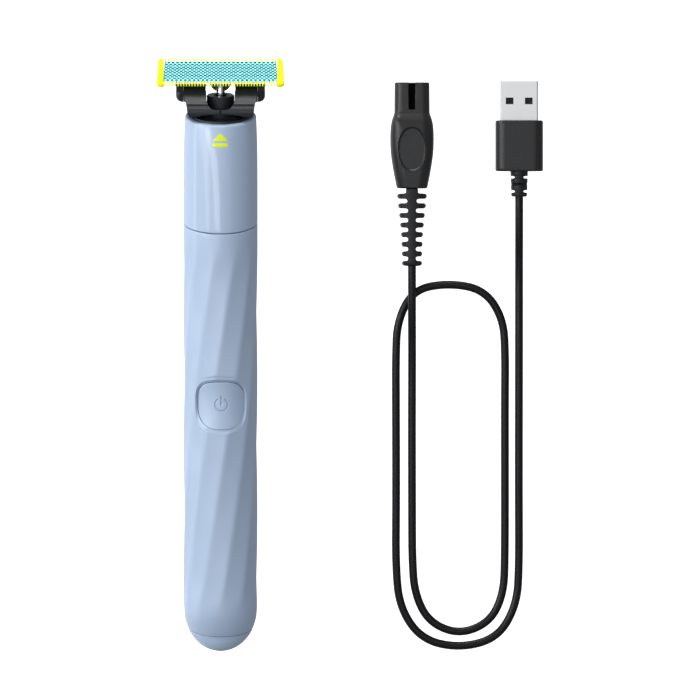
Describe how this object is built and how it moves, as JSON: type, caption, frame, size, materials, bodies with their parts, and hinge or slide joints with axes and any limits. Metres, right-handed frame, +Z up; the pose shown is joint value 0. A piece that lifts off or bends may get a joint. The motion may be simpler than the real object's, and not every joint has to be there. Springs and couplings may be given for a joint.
{
  "type": "body groomer",
  "caption": "Slim cordless body groomer with a twisted-facet handle, sprung power button, tilting pull-off blade with a lime comb and guard mesh, and a USB charging lead.",
  "frame": {"origin": "on the surface the groomer lies on, under the middle of the groomer's own box (the charging lead left out)", "axes": "+Y along the handle to the blade, +Z up out of the button side, +X to the right seen from the button side"},
  "size_m": [0.123, 0.1886, 0.0238],
  "materials": {
    "shell_blue": "satin moulded plastic",
    "mark_lime": "inlaid plastic",
    "black_plastic": "fine matte texture",
    "seal_rubber": "soft",
    "chassis_grey": "moulded",
    "screw_steel": "zinc plated",
    "battery_can": "wrapped cell",
    "nickel_strip": "nickel",
    "board_green": "solder mask",
    "switch_plastic": "moulded",
    "chip_black": "moulded",
    "contact_brass": "plated",
    "motor_steel": "drawn",
    "magnet_iron": "sintered",
    "shaft_steel": "polished",
    "lever_white": "low-friction plastic",
    "comb_lime": "moulded",
    "mesh_teal": "coated guard sheet",
    "cutter_steel": "ground",
    "plug_black": "satin",
    "relief_black": "soft",
    "cord_black": "smooth jacket",
    "usb_steel": "bright tin"
  },
  "bodies": {
    "handle": {"body_shell": "shell_blue", "upper_housing": "shell_blue", "end_cap": "shell_blue", "eject_mark": "mark_lime", "top_insert": "black_plastic", "drive_post": "black_plastic", "shaft_seal": "seal_rubber", "body_seal": "seal_rubber", "cap_seal": "seal_rubber", "chassis": "chassis_grey", "chassis_screws": "screw_steel", "battery_cell": "battery_can", "battery_tab_plus": "nickel_strip", "battery_tab_minus": "nickel_strip", "circuit_board": "board_green", "tact_switch": "switch_plastic", "control_chips": "chip_black", "charge_socket": "black_plastic", "charge_pins": "contact_brass", "motor_can": "motor_steel", "motor_bearings": "contact_brass", "motor_magnets": "magnet_iron", "lever_pivot_pin": "shaft_steel"},
    "power_button": {"power_button": "shell_blue"},
    "motor_rotor": {"motor_armature": "magnet_iron", "motor_shaft": "shaft_steel", "eccentric_crank": "lever_white", "crank_pin": "shaft_steel"},
    "drive_lever": {"drive_lever": "lever_white", "drive_shaft": "shaft_steel"},
    "blade_unit": {"blade_yoke": "black_plastic", "tilt_springs": "nickel_strip"},
    "blade_head": {"blade_carrier": "black_plastic", "hinge_pins": "shaft_steel", "comb_frame": "comb_lime", "end_cap_left": "comb_lime", "end_cap_right": "comb_lime", "guard_mesh": "mesh_teal"},
    "cutter": {"cutter_blade": "cutter_steel", "cutter_carriage": "black_plastic"},
    "charging_cable": {"device_plug": "plug_black", "plug_contacts": "contact_brass", "device_strain_relief": "relief_black", "charging_cord": "cord_black", "usb_strain_relief": "relief_black", "usb_overmold": "plug_black", "usb_shell": "usb_steel", "usb_tongue": "chip_black", "usb_contacts": "contact_brass"}
  },
  "joints": [
    {"name": "power_button_press", "type": "slide", "parent": "handle", "child": "power_button", "axis": [0, 0, -1], "range_m": [0, 0.0006], "stiffness_N_per_m": 40, "springref_m": -0.0004},
    {"name": "motor_spin", "type": "hinge", "parent": "handle", "child": "motor_rotor", "pos_m": [0, 0.02, 0.01193], "axis": [0, 1, 0], "continuous": true},
    {"name": "drive_lever_swing", "type": "hinge", "parent": "handle", "child": "drive_lever", "pos_m": [0, 0.062, 0.01193], "axis": [0, 0, 1], "range_deg": [-1.35, 1.35]},
    {"name": "blade_unit_pull", "type": "slide", "parent": "handle", "child": "blade_unit", "axis": [0, 1, 0], "range_m": [0, 0.018]},
    {"name": "blade_tilt", "type": "hinge", "parent": "blade_unit", "child": "blade_head", "pos_m": [0, 0.083, 0.01293], "axis": [1, 0, 0], "range_deg": [-8, 12], "stiffness_Nm_per_rad": 0.01},
    {"name": "cutter_slide", "type": "slide", "parent": "blade_head", "child": "cutter", "axis": [1, 0, 0], "range_m": [-0.0006, 0.0006]},
    {"name": "charging_cable_slide", "type": "slide", "parent": "handle", "child": "charging_cable", "axis": [1, 0, 0], "range_m": [0, 0.05]}
  ],
  "couplings": [
    {"joint": "drive_lever_swing", "follows": "cutter_slide", "rad_per_m": -39}
  ]
}
